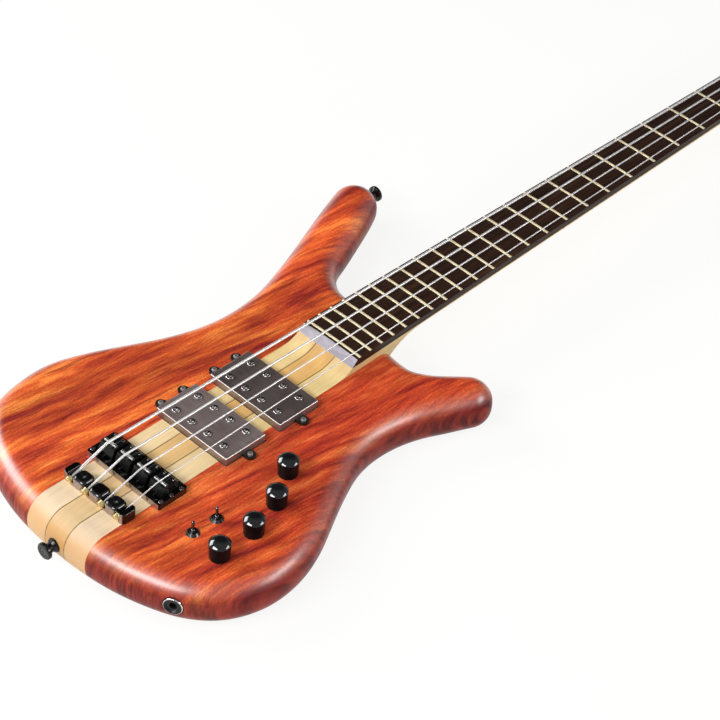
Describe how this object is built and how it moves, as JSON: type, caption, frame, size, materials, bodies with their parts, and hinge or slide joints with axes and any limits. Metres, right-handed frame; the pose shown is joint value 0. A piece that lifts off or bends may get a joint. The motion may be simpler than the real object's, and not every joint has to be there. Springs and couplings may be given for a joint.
{
  "type": "electric bass guitar",
  "caption": "Electric bass guitar with a laminated neck through a carved body; knobs turn, toggles flip, saddles slide and worm-geared tuners wind the strings.",
  "frame": {"origin": "on the back of the body, on the centre line, under the bridge at the end of the scale length", "axes": "+X along the neck to the headstock, +Y to the bass side, +Z out of the top"},
  "size_m": [1.1435, 0.3135, 0.0614],
  "materials": {
    "wing_wood": "satin oiled red-brown figured hardwood",
    "maple": "satin maple",
    "stringer_wood": "satin dark veneer",
    "fretboard_wood": "open-pored dark hardwood",
    "fret_wire": "polished bell bronze",
    "nut_black": "matt black",
    "dot_white": "gloss white",
    "rod_steel": "plain steel",
    "black_plastic": "matt black",
    "black_metal": "gloss black plating",
    "black_screws": "black plating",
    "bright_fittings": "bright steel",
    "string_steel": "round-wound steel",
    "ball_brass": "plain brass",
    "pickup_shell": "satin dark grey",
    "pole_steel": "bright steel",
    "foam": "soft black foam",
    "control_metal": "plated steel",
    "lever_black": "gloss black plating",
    "battery_case": "plain metal case",
    "ring_chrome": "polished"
  },
  "bodies": {
    "bass_body": {"body_wing_bass": "wing_wood", "body_wing_treble": "wing_wood", "neck_core": "maple", "neck_side_bass": "maple", "neck_side_treble": "maple", "neck_stringers": "stringer_wood", "fretboard": "fretboard_wood", "frets": "fret_wire", "nut": "nut_black", "side_dots": "dot_white", "truss_rod": "rod_steel", "truss_rod_cover": "black_plastic", "control_cover": "black_plastic", "tuner_housings": "black_metal", "tuner_bushings": "black_metal", "bridge_plate": "black_metal", "tailpiece": "black_metal", "strap_buttons": "black_metal", "tuner_screws": "black_screws", "strap_screws": "black_screws", "bridge_screws": "black_screws", "tailpiece_screws": "black_screws", "small_screws": "black_screws", "intonation_screws": "black_screws", "string_e": "string_steel", "string_a": "string_steel", "string_d": "string_steel", "string_g": "string_steel", "string_ball_ends": "ball_brass", "pickup_rear": "pickup_shell", "pickup_front": "pickup_shell", "pickup_poles": "pole_steel", "pickup_foam_pads": "foam", "potentiometers": "control_metal", "switch_bodies": "control_metal", "output_jack": "control_metal", "battery": "battery_case", "jack_ring": "ring_chrome"},
    "knob_1_body": {"knob_1": "black_metal"},
    "knob_2_body": {"knob_2": "black_metal"},
    "knob_3_body": {"knob_3": "black_metal"},
    "knob_4_body": {"knob_4": "black_metal"},
    "switch_1_lever": {"switch_lever_1": "lever_black"},
    "switch_2_lever": {"switch_lever_2": "lever_black"},
    "saddle_e_block": {"saddle_e": "black_metal", "saddle_fittings_e": "bright_fittings"},
    "tuner_e_key": {"tuner_key_e": "black_metal"},
    "tuner_e_post": {"tuner_post_e": "black_metal"},
    "saddle_a_block": {"saddle_a": "black_metal", "saddle_fittings_a": "bright_fittings"},
    "tuner_a_key": {"tuner_key_a": "black_metal"},
    "tuner_a_post": {"tuner_post_a": "black_metal"},
    "saddle_d_block": {"saddle_d": "black_metal", "saddle_fittings_d": "bright_fittings"},
    "tuner_d_key": {"tuner_key_d": "black_metal"},
    "tuner_d_post": {"tuner_post_d": "black_metal"},
    "saddle_g_block": {"saddle_g": "black_metal", "saddle_fittings_g": "bright_fittings"},
    "tuner_g_key": {"tuner_key_g": "black_metal"},
    "tuner_g_post": {"tuner_post_g": "black_metal"}
  },
  "joints": [
    {"name": "knob_1_turn", "type": "hinge", "parent": "bass_body", "child": "knob_1_body", "pos_m": [0.0843, -0.0794, 0.042], "axis": [0, 0, 1], "range_deg": [-150, 150]},
    {"name": "knob_2_turn", "type": "hinge", "parent": "bass_body", "child": "knob_2_body", "pos_m": [0.0538, -0.0979, 0.042], "axis": [0, 0, 1], "range_deg": [-150, 150]},
    {"name": "knob_3_turn", "type": "hinge", "parent": "bass_body", "child": "knob_3_body", "pos_m": [0.0192, -0.1082, 0.042], "axis": [0, 0, 1], "range_deg": [-150, 150]},
    {"name": "knob_4_turn", "type": "hinge", "parent": "bass_body", "child": "knob_4_body", "pos_m": [-0.0177, -0.1089, 0.042], "axis": [0, 0, 1], "range_deg": [-150, 150]},
    {"name": "switch_1_flip", "type": "hinge", "parent": "bass_body", "child": "switch_1_lever", "pos_m": [0.0085, -0.0782, 0.0442], "axis": [0, 1, 0], "range_deg": [-12, 12]},
    {"name": "switch_2_flip", "type": "hinge", "parent": "bass_body", "child": "switch_2_lever", "pos_m": [-0.0154, -0.0768, 0.0442], "axis": [0, 1, 0], "range_deg": [-12, 12]},
    {"name": "saddle_e_slide", "type": "slide", "parent": "bass_body", "child": "saddle_e_block", "axis": [1, 0, 0], "range_m": [-0.002, 0.0033]},
    {"name": "tuner_e_key_turn", "type": "hinge", "parent": "bass_body", "child": "tuner_e_key", "pos_m": [0.92974, 0.024, 0.02032], "axis": [0, 1, 0], "continuous": true},
    {"name": "tuner_e_post_turn", "type": "hinge", "parent": "bass_body", "child": "tuner_e_post", "pos_m": [0.92009, 0.024, 0.04076], "axis": [0.1392, 0, 0.9903], "continuous": true},
    {"name": "saddle_a_slide", "type": "slide", "parent": "bass_body", "child": "saddle_a_block", "axis": [1, 0, 0], "range_m": [-0.002, 0.0033]},
    {"name": "tuner_a_key_turn", "type": "hinge", "parent": "bass_body", "child": "tuner_a_key", "pos_m": [0.99114, 0.024, 0.01169], "axis": [0, 1, 0], "continuous": true},
    {"name": "tuner_a_post_turn", "type": "hinge", "parent": "bass_body", "child": "tuner_a_post", "pos_m": [0.98149, 0.024, 0.03213], "axis": [0.1392, 0, 0.9903], "continuous": true},
    {"name": "saddle_d_slide", "type": "slide", "parent": "bass_body", "child": "saddle_d_block", "axis": [1, 0, 0], "range_m": [-0.002, 0.0033]},
    {"name": "tuner_d_key_turn", "type": "hinge", "parent": "bass_body", "child": "tuner_d_key", "pos_m": [0.99114, -0.024, 0.01169], "axis": [0, -1, 0], "continuous": true},
    {"name": "tuner_d_post_turn", "type": "hinge", "parent": "bass_body", "child": "tuner_d_post", "pos_m": [0.98149, -0.024, 0.03213], "axis": [0.1392, 0, 0.9903], "continuous": true},
    {"name": "saddle_g_slide", "type": "slide", "parent": "bass_body", "child": "saddle_g_block", "axis": [1, 0, 0], "range_m": [-0.002, 0.0033]},
    {"name": "tuner_g_key_turn", "type": "hinge", "parent": "bass_body", "child": "tuner_g_key", "pos_m": [0.92974, -0.024, 0.02032], "axis": [0, -1, 0], "continuous": true},
    {"name": "tuner_g_post_turn", "type": "hinge", "parent": "bass_body", "child": "tuner_g_post", "pos_m": [0.92009, -0.024, 0.04076], "axis": [0.1392, 0, 0.9903], "continuous": true}
  ],
  "couplings": [
    {"joint": "tuner_e_post_turn", "follows": "tuner_e_key_turn", "ratio": 0.05},
    {"joint": "tuner_a_post_turn", "follows": "tuner_a_key_turn", "ratio": 0.05},
    {"joint": "tuner_d_post_turn", "follows": "tuner_d_key_turn", "ratio": 0.05},
    {"joint": "tuner_g_post_turn", "follows": "tuner_g_key_turn", "ratio": 0.05}
  ]
}
